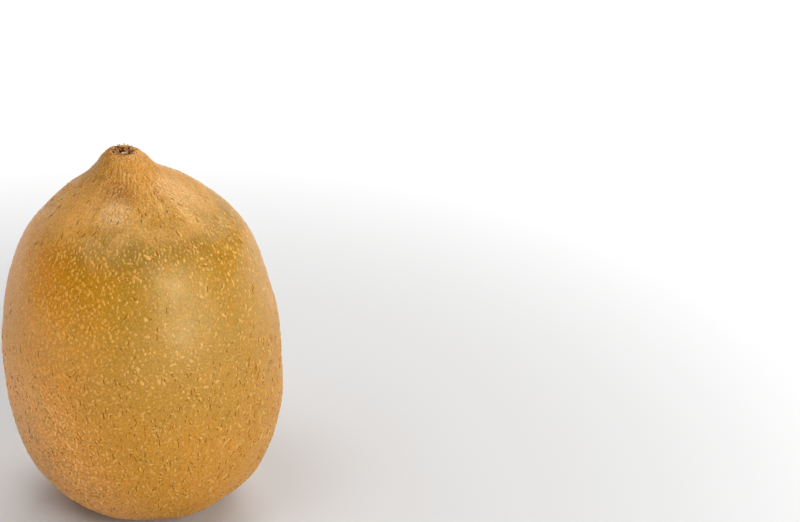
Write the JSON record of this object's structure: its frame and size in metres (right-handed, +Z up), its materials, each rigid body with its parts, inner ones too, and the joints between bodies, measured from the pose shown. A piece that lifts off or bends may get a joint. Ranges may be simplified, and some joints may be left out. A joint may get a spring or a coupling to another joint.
{
  "type": "golden kiwi fruit",
  "caption": "Whole golden kiwi fruit, an egg-shaped fruit with a short beak and ochre flecked skin, standing on its broad stalk end.",
  "frame": {"origin": "middle of the fruit's footprint box, on the surface that it stands on", "axes": "+Z up from the stalk end to the beak; +X to the right and -Y to the front, with the beak leaning slightly to -X"},
  "size_m": [0.0552, 0.0532, 0.0768],
  "materials": {
    "skin": "thin ochre fruit skin with fine tan corky flecks, matt with a soft waxy sheen"
  },
  "bodies": {
    "root": {"kiwi_fruit": "skin"}
  },
  "joints": []
}
